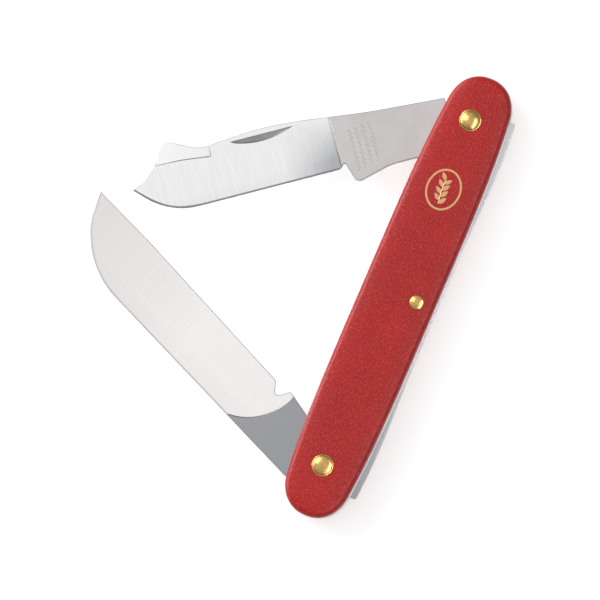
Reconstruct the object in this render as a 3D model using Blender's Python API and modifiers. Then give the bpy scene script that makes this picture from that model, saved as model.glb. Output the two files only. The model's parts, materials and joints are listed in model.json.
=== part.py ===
"""A folding grafting knife: two blades, each in its own layer of a riveted handle.

Metres, +Z up. The knife lies on its rear scale. The origin is on that scale's flat outer
face, midway along the handle, +X runs from the foot end to the head end, +Y is the side
that the blades fold out of, and the springs run along the -Y side.
"""

import math

import bmesh
import bpy
from mathutils import Matrix, Vector

MM = 0.001

# ---- Handle plan, in millimetres. It is the same at both ends.
HANDLE_HALF_LENGTH = 50.0
HANDLE_HALF_WIDTH = 8.05
END_TAPER = 1.12  # how much the half width has lost at TAPER_END
TAPER_END = 43.0
NOSE_START = 42.5
NOSE_CENTRE = 41.6
NOSE_HALF_WIDTH = 7.0
NOSE_POWER = 2.2  # 2 would be an ellipse; a little more makes a fuller nose
SIDE_STEPS = 14
NOSE_STEPS = 16

# ---- The stack, from the rear face upwards
SCALE_THICKNESS = 3.4
LINER_THICKNESS = 0.6
LAYER_THICKNESS = 2.2
STACK_GAP = 0.03
LINER_PROUD = 0.12
SPRING_PROUD = 0.3

# ---- Scale section: an upright wall, a rounded edge, a shallow crown and a flat
EDGE_RADIUS = 1.35
CROWN_SLOPE = math.radians(8)
CROWN_WIDTH = 3.3
EDGE_STEPS = 5
CROWN_STEPS = 3

# ---- Rivets
HEAD_PIVOT = (40.05, 0.65)
FOOT_PIVOT = (-38.9, 0.5)
SPRING_PIN = (0.35, -4.1)
PIVOT_RADIUS = 1.25
PIVOT_BORE = 1.32
PIN_RADIUS = 1.0
HOLE_PLAY = 0.04
COLLAR_RADIUS = 2.35
COLLAR_DEPTH = 0.85
COLLAR_RIM = 0.14
COLLAR_DISH_RADIUS = 2.02
COLLAR_DISH_DEPTH = 0.4
PIVOT_HEAD_RADIUS = 1.93
PIVOT_HEAD_HEIGHT = 0.52
PIN_HEAD_RADIUS = 1.5
PIN_HEAD_SEAT = 0.5
PIN_HEAD_HEIGHT = 0.36
SEAT_PLAY = 0.04
DOME_STEPS = 4
TURN_STEPS = 24
HOLE_STEPS = 24

# ---- Blades. Each is drawn with its pivot at 0, 0 and its length along +X.
TANG_THICKNESS = 2.1
GROUND_BACK = 1.9  # thickness of the ground part at the blade's back
GROUND_EDGE = 0.3  # and at its cutting edge
BUDDING_REST_ANGLE = 128.36
GRAFTING_REST_ANGLE = 68.36
NICK_RADIUS = 19.0
NICK_TILT = 24.0
NICK_DEPTH = 0.5
CUTTER_HEIGHT = 4.0

# ---- Springs. The free arm is bent outwards where the half-open blade's tang holds it.
BUDDING_SPRING_LIFT = 1.5  # degrees
GRAFTING_SPRING_LIFT = 1.5
BEND_START = 3.0  # distance from the spring pin where the bend begins
BEND_END = 34.0  # and where it ends
TANG_FLAT_BUDDING = 4.35  # from the pivot to the tang's flat that carries the spring
TANG_FLAT_GRAFTING = 4.3
SPRING_SEAT_GAP = 0.11
PIN_BOSS_TOP = -2.45
EYE_RADIUS = 3.1
ARC_TOLERANCE = 0.012

# x, y and corner radius. The cutting edge is on the +Y side, the bark lifter on -Y.
BUDDING_OUTLINE = [
    (-4.6, -TANG_FLAT_BUDDING, 2.4),
    (4.0, -TANG_FLAT_BUDDING, 0.35),
    (4.0, -6.5, 0.15),
    (20.0, -7.85, 100.0),
    (36.0, -10.1, 100.0),
    (44.5, -10.75, 60.0),
    (54.8, -10.0, 0.2),
    (57.4, -10.05, 5.0),
    (64.0, -13.55, 2.0),
    (66.9, -9.1, 3.0),
    (70.0, -6.15, 4.0),
    (73.0, -5.0, 0.1),
    (66.5, 1.8, 15.0),
    (29.3, 2.3, 0.6),
    (28.0, 1.05, 0.3),
    (26.5, 6.0, 1.3),
    (18.7, 4.1, 14.0),
    (-4.6, TANG_FLAT_BUDDING, 2.4),
]
# The cutting edge is on the -Y side. The tang's closed flat is turned by CLOSED_TILT.
CLOSED_TILT = math.radians(-5.6)
GRAFTING_OUTLINE = [
    (-5.0, -3.84, 2.6),
    (5.4, -4.83, 1.5),
    (9.0, -4.62, 4.0),
    (16.2, -6.0, 0.35),
    (18.0, -2.85, 0.75),
    (20.15, -5.5, 0.3),
    (60.0, -7.35, 150.0),
    (75.2, -7.55, 0.1),
    (72.3, -1.5, 14.0),
    (64.6, 5.95, 20.0),
    (4.2, 7.45, 0.3),
    (4.2, TANG_FLAT_GRAFTING, 0.35),
    (-4.9, TANG_FLAT_GRAFTING, 2.4),
]
# Where each blade is ground, as a plan drawn past the blade on all sides but the plunge.
BUDDING_GRIND = [
    (28.6, -15.0, 0.0),
    (28.8, -2.0, 60.0),
    (29.0, 8.0, 0.0),
    (80.0, 8.0, 0.0),
    (80.0, -15.0, 0.0),
]
LIFTER_GRIND = [
    (54.8, -16.0, 0.0),
    (55.05, -7.6, 0.3),
    (61.5, -8.5, 6.0),
    (76.0, -9.2, 0.0),
    (76.0, -16.0, 0.0),
]
GRAFTING_GRIND = [
    (15.1, -12.0, 0.0),
    (15.1, -3.0, 12.0),
    (17.4, 4.2, 12.0),
    (25.9, 8.6, 0.0),
    (80.0, 9.0, 0.0),
    (80.0, -12.0, 0.0),
]


def clear_scene():
    for old in list(bpy.data.objects):
        bpy.data.objects.remove(old)


def new_collection(name):
    made = bpy.data.collections.new(name)
    bpy.context.scene.collection.children.link(made)
    return made


def finish(name, colour, roughness, metallic):
    made = bpy.data.materials.new(name)
    made.use_nodes = True
    shader = made.node_tree.nodes["Principled BSDF"]
    shader.inputs["Base Color"].default_value = (*colour, 1.0)
    shader.inputs["Roughness"].default_value = roughness
    shader.inputs["Metallic"].default_value = metallic
    return made


# ---------------------------------------------------------------- outlines


def rounded(corners):
    """The points of a closed polygon whose corners are rounded to their own radius."""
    points = []
    for i, (x, y, radius) in enumerate(corners):
        here = Vector((x, y))
        back = (Vector(corners[i - 1][:2]) - here).normalized()
        ahead = (Vector(corners[(i + 1) % len(corners)][:2]) - here).normalized()
        half = math.acos(max(-1.0, min(1.0, back.dot(ahead)))) / 2
        if radius <= 0 or half > math.radians(89.9):
            points.append(here)
            continue
        tangent = radius / math.tan(half)
        centre = here + (back + ahead).normalized() * (radius / math.sin(half))
        start = here + back * tangent - centre
        sweep = start.angle_signed(here + ahead * tangent - centre)
        most = 2 * math.acos(1 - min(ARC_TOLERANCE / radius, 0.2))
        steps = max(1, math.ceil(abs(sweep) / most))
        for k in range(steps + 1):
            turned_by = Matrix.Rotation(-sweep * k / steps, 2)
            points.append(centre + turned_by @ start)
    return points


def circle(centre, radius, steps=HOLE_STEPS):
    """A hole's outline: its flats, not its corners, are radius away from the centre."""
    reach = radius / math.cos(math.pi / steps)
    return [
        Vector(centre) + reach * Vector((math.cos(a), math.sin(a)))
        for a in (2 * math.pi * k / steps for k in range(steps))
    ]


def half_width(x, grow=0.0):
    return HANDLE_HALF_WIDTH + grow - END_TAPER * (abs(x) / TAPER_END) ** 4


def nose_point(angle, grow):
    """A point of the rounded end, from angle 90 degrees at one side to -90 at the other."""
    reach = HANDLE_HALF_LENGTH - NOSE_CENTRE + grow
    along = abs(math.cos(angle)) ** (2 / NOSE_POWER)
    across = abs(math.sin(angle)) ** (2 / NOSE_POWER)
    side = math.copysign(across, angle) * (NOSE_HALF_WIDTH + grow)
    return Vector((NOSE_CENTRE + reach * along, side))


def handle_outline(grow=0.0):
    """The handle's plan, grown outwards by grow, anticlockwise from the head end."""
    reach = HANDLE_HALF_LENGTH - NOSE_CENTRE + grow
    widest = math.acos(((NOSE_START - NOSE_CENTRE) / reach) ** (NOSE_POWER / 2))
    nose = [
        nose_point(widest * (2 * k / NOSE_STEPS - 1), grow)
        for k in range(NOSE_STEPS + 1)
    ]
    side = []
    for k in range(1, SIDE_STEPS):
        x = NOSE_START * (1 - 2 * k / SIDE_STEPS)
        side.append(Vector((x, half_width(x, grow))))
    half = nose + side
    return half + [-p for p in half]


def bent(points, lift, towards):
    """The points of a spring with its free arm bent outwards by lift degrees.

    towards is +1 when the free arm runs to +X from the spring pin, and -1 when to -X.
    """
    pin = Vector(SPRING_PIN)
    moved = []
    for p in points:
        share = ((p.x - pin.x) * towards - BEND_START) / (BEND_END - BEND_START)
        share = min(max(share, 0.0), 1.0)
        share = share * share * (3 - 2 * share)
        turn = Matrix.Rotation(math.radians(-lift * towards * share), 2)
        moved.append(pin + turn @ (p - pin))
    return moved


# ---------------------------------------------------------------- solids


def flat_curve(name, outlines, thickness, where):
    """A filled 2D curve: the first outline is the shape, and the others are holes."""
    data = bpy.data.curves.new(name, "CURVE")
    data.dimensions = "2D"
    data.fill_mode = "BOTH"
    data.extrude = thickness / 2 * MM
    for outline in outlines:
        spline = data.splines.new("POLY")
        spline.points.add(len(outline) - 1)
        for point, (x, y) in zip(spline.points, outline):
            point.co = (x * MM, y * MM, 0.0, 1.0)
        spline.use_cyclic_u = True
    made = bpy.data.objects.new(name, data)
    where.objects.link(made)
    return made


def as_mesh(curve_object, where):
    """A mesh object in the curve's place, with its caps welded to its sides."""
    bpy.context.view_layer.update()
    graph = bpy.context.evaluated_depsgraph_get()
    mesh = bpy.data.meshes.new_from_object(curve_object.evaluated_get(graph))
    work = bmesh.new()
    work.from_mesh(mesh)
    bmesh.ops.remove_doubles(work, verts=work.verts, dist=1e-7)
    bmesh.ops.recalc_face_normals(work, faces=work.faces)
    work.to_mesh(mesh)
    work.free()
    name = curve_object.name
    curve_data = curve_object.data
    bpy.data.objects.remove(curve_object)
    bpy.data.curves.remove(curve_data)
    made = bpy.data.objects.new(name, mesh)
    where.objects.link(made)
    return made


def plate(name, outlines, thickness, where, material=None):
    """A flat plate, with its middle plane at z = 0."""
    made = as_mesh(flat_curve(name, outlines, thickness, where), where)
    if material:
        made.data.materials.append(material)
    return made


def turned(name, profile, where, material=None):
    """A turned piece. The profile's x is the radius, and it runs down the outer side."""
    mesh = bpy.data.meshes.new(name)
    points = [(r * MM, 0.0, z * MM) for r, z in profile]
    closed = profile[0][0] > 0
    edges = [(k, k + 1) for k in range(len(points) - 1)]
    if closed:
        edges.append((len(points) - 1, 0))
    mesh.from_pydata(points, edges, [])
    made = bpy.data.objects.new(name, mesh)
    where.objects.link(made)
    spin = made.modifiers.new("turn", "SCREW")
    spin.steps = spin.render_steps = TURN_STEPS
    spin.use_merge_vertices = True
    spin.merge_threshold = 1e-6
    if material:
        mesh.materials.append(material)
    return made


def cylinder_cutter(name, radius, low, high, centre, cutters):
    """An upright cylinder whose flats are radius away from its axis."""
    mesh = bpy.data.meshes.new(name)
    work = bmesh.new()
    reach = radius / math.cos(math.pi / HOLE_STEPS) * MM
    bmesh.ops.create_cone(
        work,
        cap_ends=True,
        segments=HOLE_STEPS,
        radius1=reach,
        radius2=reach,
        depth=(high - low) * MM,
    )
    work.to_mesh(mesh)
    work.free()
    made = bpy.data.objects.new(name, mesh)
    made.location = Vector((*centre, (low + high) / 2)) * MM
    as_cutter(made, cutters)
    return made


def as_cutter(made, cutters):
    if made.name not in cutters.objects:
        cutters.objects.link(made)
    made.hide_render = True
    made.display_type = "WIRE"


def cut(target, cutter):
    boolean = target.modifiers.new(cutter.name, "BOOLEAN")
    boolean.operation = "DIFFERENCE"
    boolean.object = cutter


def dome(radius, height, base):
    """Points down a shallow dome, from its top on the axis to its rim at z = base."""
    sphere = (radius**2 + height**2) / (2 * height)
    reach = math.asin(radius / sphere)
    return [
        (
            sphere * math.sin(reach * k / DOME_STEPS),
            base + height - sphere * (1 - math.cos(reach * k / DOME_STEPS)),
        )
        for k in range(DOME_STEPS + 1)
    ]


# ---------------------------------------------------------------- the stack


def stack_levels():
    """(low, high) of each layer of the closed knife, from the rear scale upwards."""
    layers = [
        ("rear_scale", SCALE_THICKNESS),
        ("rear_liner", LINER_THICKNESS),
        ("grafting_layer", LAYER_THICKNESS),
        ("centre_liner", LINER_THICKNESS),
        ("budding_layer", LAYER_THICKNESS),
        ("front_liner", LINER_THICKNESS),
        ("front_scale", SCALE_THICKNESS),
    ]
    levels, low = {}, 0.0
    for name, thickness in layers:
        levels[name] = (low, low + thickness)
        low += thickness + STACK_GAP
    return levels


LEVELS = stack_levels()
TOP = LEVELS["front_scale"][1]


def middle(layer):
    return sum(LEVELS[layer]) / 2


# ---------------------------------------------------------------- sub-parts


def scale_blank(name, where, material):
    """A scale with its inner face at z = 0 and its rounded outer face upwards."""
    edge_end = math.pi / 2 - CROWN_SLOPE
    crown_radius = CROWN_WIDTH / math.sin(CROWN_SLOPE)
    crown_rise = crown_radius * (1 - math.cos(CROWN_SLOPE))
    wall = SCALE_THICKNESS - EDGE_RADIUS * math.sin(edge_end) - crown_rise
    section = [(0.0, wall)]
    for k in range(1, EDGE_STEPS + 1):
        a = edge_end * k / EDGE_STEPS
        inwards = EDGE_RADIUS * (1 - math.cos(a))
        section.append((inwards, wall + EDGE_RADIUS * math.sin(a)))
    edge_inwards, edge_top = section[-1]
    for k in range(1, CROWN_STEPS + 1):
        left = CROWN_SLOPE * (1 - k / CROWN_STEPS)
        inwards = edge_inwards + CROWN_WIDTH - crown_radius * math.sin(left)
        drop = crown_radius * (1 - math.cos(left))
        section.append((inwards, edge_top + crown_rise - drop))

    work = bmesh.new()
    ring = [work.verts.new((p.x * MM, p.y * MM, 0.0)) for p in handle_outline()]
    sides = [work.edges.new((a, b)) for a, b in zip(ring, ring[1:] + ring[:1])]
    base = bmesh.ops.contextual_create(work, geom=sides)["faces"][0]
    base.normal_update()
    if base.normal.z < 0:
        base.normal_flip()
    grown = bmesh.ops.extrude_face_region(work, geom=[base], use_keep_orig=True)
    top = next(g for g in grown["geom"] if isinstance(g, bmesh.types.BMFace))
    bmesh.ops.translate(work, verts=top.verts, vec=(0, 0, wall * MM))
    for (last_in, last_z), (inwards, z) in zip(section, section[1:]):
        bmesh.ops.inset_individual(
            work,
            faces=[top],
            thickness=(inwards - last_in) * MM,
            depth=(z - last_z) * MM,
            use_even_offset=True,
        )
    bmesh.ops.recalc_face_normals(work, faces=work.faces)
    mesh = bpy.data.meshes.new(name)
    work.to_mesh(mesh)
    work.free()
    mesh.materials.append(material)
    made = bpy.data.objects.new(name, mesh)
    where.objects.link(made)
    return made


def rivet_places():
    """(name, centre, shank radius, head seat radius, head seat depth) of each rivet."""
    return [
        ("head", HEAD_PIVOT, PIVOT_RADIUS, COLLAR_RADIUS, COLLAR_DEPTH),
        ("foot", FOOT_PIVOT, PIVOT_RADIUS, COLLAR_RADIUS, COLLAR_DEPTH),
        ("spring", SPRING_PIN, PIN_RADIUS, PIN_HEAD_RADIUS, PIN_HEAD_SEAT),
    ]


def make_scales(parts, cutters, nylon):
    """The two scales. The rear one is the front one turned over."""
    for name in ("front_scale", "rear_scale"):
        front = name == "front_scale"
        scale = scale_blank(name, parts, nylon)
        if front:
            scale.location.z = LEVELS[name][0] * MM
        else:
            scale.location.z = LEVELS[name][1] * MM
            scale.rotation_euler.x = math.pi
        outer, inner = (TOP, LEVELS[name][0]) if front else (0.0, LEVELS[name][1])
        out = 1 if front else -1
        for rivet, centre, shank, seat, depth in rivet_places():
            for part, radius, start, end in (
                ("shank", shank, inner - out, outer + out),
                ("seat", seat, outer - out * depth, outer + out),
            ):
                hole = cylinder_cutter(
                    f"{name}_{rivet}_{part}_cutter",
                    radius + HOLE_PLAY,
                    min(start, end),
                    max(start, end),
                    centre,
                    cutters,
                )
                cut(scale, hole)


def make_liners(parts, metal):
    outline = handle_outline(LINER_PROUD)
    holes = [circle(place[1], place[2] + HOLE_PLAY) for place in rivet_places()]
    for name in ("rear_liner", "centre_liner", "front_liner"):
        liner = plate(name, [outline, *holes], LINER_THICKNESS, parts, metal)
        liner.location.z = middle(name) * MM


def back_edge(start, end, steps):
    """The flush back edge of a spring, from x = start to x = end."""
    xs = [start + (end - start) * k / steps for k in range(steps + 1)]
    return [Vector((x, -half_width(x, SPRING_PROUD))) for x in xs]


def spring_outline(inner, tip_x, eye):
    """A spring at rest against a shut blade.

    inner holds the corners of the inner edge from the free tip to the spring pin's
    boss. Past the boss the tail runs to the eye that the other blade's pivot fills.
    """
    towards = math.copysign(1, tip_x)
    tail_x = eye[0] - towards * 1.0
    corners = [
        *inner,
        (SPRING_PIN[0] - towards * 2.2, PIN_BOSS_TOP, 1.2),
        (SPRING_PIN[0] - towards * 5.5, -4.9, 2.0),
        (eye[0] + towards * 5.4, -4.9, 2.0),
        (eye[0] + towards * EYE_RADIUS, eye[1] - 1.2, 1.5),
        (eye[0] + towards * EYE_RADIUS, eye[1] + EYE_RADIUS, EYE_RADIUS - 0.05),
        (eye[0] - towards * EYE_RADIUS, eye[1] + EYE_RADIUS, EYE_RADIUS - 0.05),
        (eye[0] - towards * EYE_RADIUS, -5.6, 1.8),
        (tail_x, -half_width(tail_x, SPRING_PROUD), 1.0),
    ]
    tip_corner = (tip_x, -half_width(tip_x, SPRING_PROUD), 0.45)
    run = rounded([*corners, tip_corner])
    tip_points = [p for p in run if (p.x - tip_x) * towards > -1.2 and p.y < -6.0]
    body = [p for p in run if p not in tip_points]
    last, first = tip_points[0].x, body[-1].x
    between = back_edge(first, last, 18)[1:-1]
    return [*body, *between, *tip_points]


def make_spring(name, layer, inner, tip_x, eye, lift, parts, steel):
    towards = math.copysign(1, tip_x)
    outlines = [
        spring_outline(inner, tip_x, eye),
        circle(SPRING_PIN, PIN_RADIUS + HOLE_PLAY),
        circle(eye, PIVOT_RADIUS + HOLE_PLAY),
    ]
    pin = Vector(SPRING_PIN)
    at_pin = [[p - pin for p in bent(line, lift, towards)] for line in outlines]
    spring = plate(name, at_pin, LAYER_THICKNESS, parts, steel)
    spring.location = Vector((*SPRING_PIN, middle(layer))) * MM


def make_springs(parts, steel):
    seat = HEAD_PIVOT[1] - TANG_FLAT_BUDDING - SPRING_SEAT_GAP
    make_spring(
        "budding_spring",
        "budding_layer",
        [
            (43.4, seat, 0.2),
            (23.0, seat - 0.12, 4.0),
            (16.4, -5.85, 3.0),
            (11.5, -5.85, 4.0),
            (4.2, -3.9, 1.5),
            (2.6, PIN_BOSS_TOP, 1.2),
        ],
        43.4,
        FOOT_PIVOT,
        BUDDING_SPRING_LIFT,
        parts,
        steel,
    )
    seat = FOOT_PIVOT[1] - TANG_FLAT_GRAFTING - SPRING_SEAT_GAP
    make_spring(
        "grafting_spring",
        "grafting_layer",
        [
            (-43.0, seat, 0.2),
            (-19.0, seat - 0.1, 4.0),
            (-4.6, -3.7, 2.0),
            (-1.9, PIN_BOSS_TOP, 1.2),
        ],
        -43.0,
        HEAD_PIVOT,
        GRAFTING_SPRING_LIFT,
        parts,
        steel,
    )


def pivot_empty(name, centre, angle, layer, where):
    empty = bpy.data.objects.new(name, None)
    empty.location = Vector((*centre, middle(layer))) * MM
    empty.rotation_euler.z = math.radians(angle)
    where.objects.link(empty)
    return empty


def grind_cutter(name, plan, back_y, edge_y, side, pivot, cutters, halves):
    """A wedge whose inner face is the ground face on one side of a blade.

    halves holds the half thickness that it leaves at y = back_y and at y = edge_y.
    side is +1 for the front face and -1 for the rear face.
    """
    slope = math.atan((halves[1] - halves[0]) / (edge_y - back_y))
    flat = [Vector((p.x, p.y - back_y)) for p in rounded(plan)]
    wedge = plate(name, [flat], CUTTER_HEIGHT, cutters)
    wedge.data.transform(Matrix.Translation((0, 0, CUTTER_HEIGHT / 2 * MM)))
    if side < 0:
        wedge.data.transform(Matrix.Scale(-1, 4, (0, 0, 1)))
        wedge.data.flip_normals()
    wedge.rotation_euler.x = side * slope
    wedge.location = Vector((0, back_y, side * halves[0])) * MM
    wedge.parent = pivot
    as_cutter(wedge, cutters)
    return wedge


def nick_cutter(name, centre, towards, face_z, side, pivot, cutters):
    """A tilted disc that leaves a crescent: straight at the back, curved towards the edge.

    centre is the middle of the crescent's straight side, and towards is +1 or -1, the
    side of the blade in Y that the curved side bulges to.
    """
    mesh = bpy.data.meshes.new(name)
    work = bmesh.new()
    bmesh.ops.create_cone(
        work,
        cap_ends=True,
        segments=96,
        radius1=NICK_RADIUS * MM,
        radius2=NICK_RADIUS * MM,
        depth=CUTTER_HEIGHT * MM,
    )
    shift = Vector((0, -towards * NICK_RADIUS, side * CUTTER_HEIGHT / 2)) * MM
    bmesh.ops.translate(work, verts=work.verts, vec=shift)
    tilt = Matrix.Rotation(-side * towards * math.radians(NICK_TILT), 4, "X")
    bmesh.ops.transform(work, verts=work.verts, matrix=tilt)
    work.to_mesh(mesh)
    work.free()
    made = bpy.data.objects.new(name, mesh)
    deepest = math.sin(math.radians(NICK_TILT))
    made.location = (
        Vector(
            (
                centre[0],
                centre[1] + towards * NICK_DEPTH / deepest,
                side * (face_z - NICK_DEPTH),
            )
        )
        * MM
    )
    made.parent = pivot
    as_cutter(made, cutters)
    return made


def make_budding_blade(parts, cutters, steel):
    """The budding blade, with its bark lifter on the back and a nail nick in front."""
    pivot = pivot_empty(
        "budding_pivot", HEAD_PIVOT, BUDDING_REST_ANGLE, "budding_layer", parts
    )
    outlines = [rounded(BUDDING_OUTLINE), circle((0, 0), PIVOT_BORE)]
    blade = plate("budding_blade", outlines, TANG_THICKNESS, parts, steel)
    blade.parent = pivot
    ground = (GROUND_BACK / 2, GROUND_EDGE / 2)
    lifter = (0.77, 0.28)
    for side, word in ((1, "front"), (-1, "rear")):
        for part, plan, back_y, edge_y, halves in (
            ("grind", BUDDING_GRIND, -10.1, 1.9, ground),
            ("lifter", LIFTER_GRIND, -7.6, -12.8, lifter),
        ):
            name = f"budding_{part}_{word}_cutter"
            cut(
                blade,
                grind_cutter(name, plan, back_y, edge_y, side, pivot, cutters, halves),
            )
    cut(
        blade,
        nick_cutter("budding_nick_cutter", (43.5, -9.4), 1, 0.9, 1, pivot, cutters),
    )


def make_grafting_blade(parts, cutters, steel):
    """The straight-edged grafting blade, with its nail nick on the rear face."""
    pivot = pivot_empty(
        "grafting_pivot", FOOT_PIVOT, GRAFTING_REST_ANGLE, "grafting_layer", parts
    )
    outlines = [rounded(GRAFTING_OUTLINE), circle((0, 0), PIVOT_BORE)]
    blade = plate("grafting_blade", outlines, TANG_THICKNESS, parts, steel)
    blade.parent = pivot
    ground = (GROUND_BACK / 2, GROUND_EDGE / 2)
    for side, word in ((1, "front"), (-1, "rear")):
        name = f"grafting_grind_{word}_cutter"
        cut(
            blade,
            grind_cutter(name, GRAFTING_GRIND, 6.8, -6.8, side, pivot, cutters, ground),
        )
    cut(
        blade,
        nick_cutter("grafting_nick_cutter", (41.0, 5.3), -1, 0.9, -1, pivot, cutters),
    )


def mirrored_profile(upper):
    """A rivet's profile, from the top of its front head to the top of its rear head."""
    return [*upper, *[(r, TOP - z) for r, z in reversed(upper)]]


def make_rivets(parts, brass):
    """Two pivot pins, the spring pin, and a collar under each head of the pivots."""
    dish_z = TOP + COLLAR_RIM - COLLAR_DISH_DEPTH
    head = dome(PIVOT_HEAD_RADIUS, PIVOT_HEAD_HEIGHT - 0.1, TOP + 0.1)
    pivot_profile = mirrored_profile([*head, (PIVOT_RADIUS, dish_z + SEAT_PLAY)])
    for name, centre in (("head", HEAD_PIVOT), ("foot", FOOT_PIVOT)):
        pin = turned(f"{name}_pivot_pin", pivot_profile, parts, brass)
        pin.location = Vector((*centre, 0)) * MM
    head = dome(PIN_HEAD_RADIUS, PIN_HEAD_HEIGHT, TOP)
    seat_z = TOP - PIN_HEAD_SEAT + SEAT_PLAY
    pin_profile = mirrored_profile(
        [*head, (PIN_HEAD_RADIUS, seat_z), (PIN_RADIUS, seat_z)]
    )
    pin = turned("spring_pin", pin_profile, parts, brass)
    pin.location = Vector((*SPRING_PIN, 0)) * MM

    rim = TOP + COLLAR_RIM
    low = TOP - COLLAR_DEPTH + SEAT_PLAY
    bore = PIVOT_RADIUS + HOLE_PLAY
    collar = [
        (COLLAR_DISH_RADIUS, rim),
        (COLLAR_RADIUS - 0.1, rim),
        (COLLAR_RADIUS, rim - 0.1),
        (COLLAR_RADIUS, low),
        (bore, low),
        (bore, dish_z),
    ]
    for name, centre in (("head", HEAD_PIVOT), ("foot", FOOT_PIVOT)):
        for side in ("front", "rear"):
            ring = turned(f"{name}_{side}_collar", collar, parts, brass)
            ring.location = Vector((*centre, 0)) * MM
            if side == "rear":
                ring.rotation_euler.x = math.pi
                ring.location.z = TOP * MM


def main():
    clear_scene()
    parts = new_collection("grafting_knife")
    cutters = new_collection("cutters")
    nylon = finish("red_nylon", (0.47, 0.02, 0.025), 0.5, 0.0)
    liner_metal = finish("liner_aluminium", (0.78, 0.78, 0.78), 0.35, 1.0)
    blade_steel = finish("blade_steel", (0.72, 0.72, 0.73), 0.25, 1.0)
    spring_steel = finish("spring_steel", (0.6, 0.6, 0.62), 0.3, 1.0)
    brass = finish("rivet_brass", (0.8, 0.57, 0.22), 0.25, 1.0)
    make_scales(parts, cutters, nylon)
    make_liners(parts, liner_metal)
    make_springs(parts, spring_steel)
    make_budding_blade(parts, cutters, blade_steel)
    make_grafting_blade(parts, cutters, blade_steel)
    make_rivets(parts, brass)


main()
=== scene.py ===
# %% [markdown]
# # A folding budding and grafting knife
#
# The knife is a sandwich: two red nylon scales, three thin metal liners, and between
# them two layers that each hold one blade and the leaf spring that keeps it open or
# shut. Brass rivets hold the stack together, and two of them are the blades' pivots.
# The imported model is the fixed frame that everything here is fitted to: +X runs from
# the grafting blade's pivot to the budding blade's, +Y is the side the blades open on,
# and +Z comes out of the front scale.

import json
import math

import bmesh
import bpy
from mathutils import Matrix, Vector


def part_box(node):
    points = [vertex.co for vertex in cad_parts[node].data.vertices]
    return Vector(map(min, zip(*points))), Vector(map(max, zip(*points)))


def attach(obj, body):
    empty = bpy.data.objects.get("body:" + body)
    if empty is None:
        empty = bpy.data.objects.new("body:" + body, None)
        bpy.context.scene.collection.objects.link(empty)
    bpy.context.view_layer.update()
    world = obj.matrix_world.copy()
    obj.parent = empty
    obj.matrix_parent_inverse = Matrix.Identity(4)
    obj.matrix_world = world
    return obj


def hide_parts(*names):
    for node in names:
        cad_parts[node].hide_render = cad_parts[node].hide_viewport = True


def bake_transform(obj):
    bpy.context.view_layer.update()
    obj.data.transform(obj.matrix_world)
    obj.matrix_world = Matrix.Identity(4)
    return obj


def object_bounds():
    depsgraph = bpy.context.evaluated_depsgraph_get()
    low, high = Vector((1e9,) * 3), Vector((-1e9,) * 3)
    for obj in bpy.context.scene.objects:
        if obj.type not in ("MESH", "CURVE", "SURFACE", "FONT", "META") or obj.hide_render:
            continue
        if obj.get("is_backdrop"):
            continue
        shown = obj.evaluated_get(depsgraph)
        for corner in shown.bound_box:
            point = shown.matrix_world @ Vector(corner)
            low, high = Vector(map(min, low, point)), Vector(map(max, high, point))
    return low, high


MM = 0.001
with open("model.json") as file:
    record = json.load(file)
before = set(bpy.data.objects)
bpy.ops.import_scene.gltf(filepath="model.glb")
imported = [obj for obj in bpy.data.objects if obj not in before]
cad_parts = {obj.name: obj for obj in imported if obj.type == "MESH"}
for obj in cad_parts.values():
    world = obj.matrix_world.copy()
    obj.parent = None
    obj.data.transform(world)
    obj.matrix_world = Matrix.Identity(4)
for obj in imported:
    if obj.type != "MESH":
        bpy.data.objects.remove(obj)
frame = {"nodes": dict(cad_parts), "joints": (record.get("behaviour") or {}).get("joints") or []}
cad_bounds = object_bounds()
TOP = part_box("front_scale")[1].z / MM
print("the handle is", round(TOP, 2), "mm thick, scale to scale")

# %% [markdown]
# ## Helpers for meshes
# Every finished object sits at the origin with its place in its mesh, as the frame's
# own nodes do. That lets a pattern be laid out in millimetres from the knife's origin,
# and it stays on its piece when a joint moves.


# %% Turning a bmesh into a finished object
def as_object(work, name, materials, sharp=35):
    """An object at the origin, smooth but for edges sharper than sharp degrees."""
    mesh = bpy.data.meshes.new(name)
    work.to_mesh(mesh)
    work.free()
    for material in materials:
        mesh.materials.append(material)
    made = bpy.data.objects.new(name, mesh)
    bpy.context.scene.collection.objects.link(made)
    mesh.shade_smooth()
    mesh.set_sharp_from_angle(angle=math.radians(sharp))
    return made


def applied(thing):
    """The object with its modifiers worked into its mesh."""
    bpy.context.view_layer.update()
    graph = bpy.context.evaluated_depsgraph_get()
    mesh = bpy.data.meshes.new_from_object(
        thing.evaluated_get(graph), preserve_all_data_layers=True, depsgraph=graph
    )
    thing.modifiers.clear()
    thing.data = mesh
    return thing


def settle(thing, body, slot, *nodes):
    """The piece rides on its body and stands for CAD nodes; slot is not used."""
    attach(thing, body)
    if nodes:
        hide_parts(*nodes)
    print(thing.name, "has", len(thing.data.polygons), "faces")


# %% [markdown]
# ## Writing shaders as sums
# A material is a graph of nodes, and most of it is arithmetic on numbers that change
# from point to point. A small class wraps a node's output, so `a * 2 + b` adds the
# Math nodes for it. Every other node comes from one method.


# %% Sums on sockets
class Wire:
    """A node's output that can be used in sums."""

    def __init__(self, nodes, socket):
        self.nodes = nodes
        self.socket = socket

    def math(self, operation, *others):
        values = dict(enumerate((self, *others)))
        return self.nodes.add("ShaderNodeMath", {"operation": operation}, values)

    def __add__(self, other):
        return self.math("ADD", other)

    def __mul__(self, other):
        return self.math("MULTIPLY", other)

    def __rsub__(self, other):
        return (self * -1) + other

    __radd__ = __add__
    __rmul__ = __mul__

    def clamp(self):
        return self.math("MAXIMUM", 0.0).math("MINIMUM", 1.0)


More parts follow.
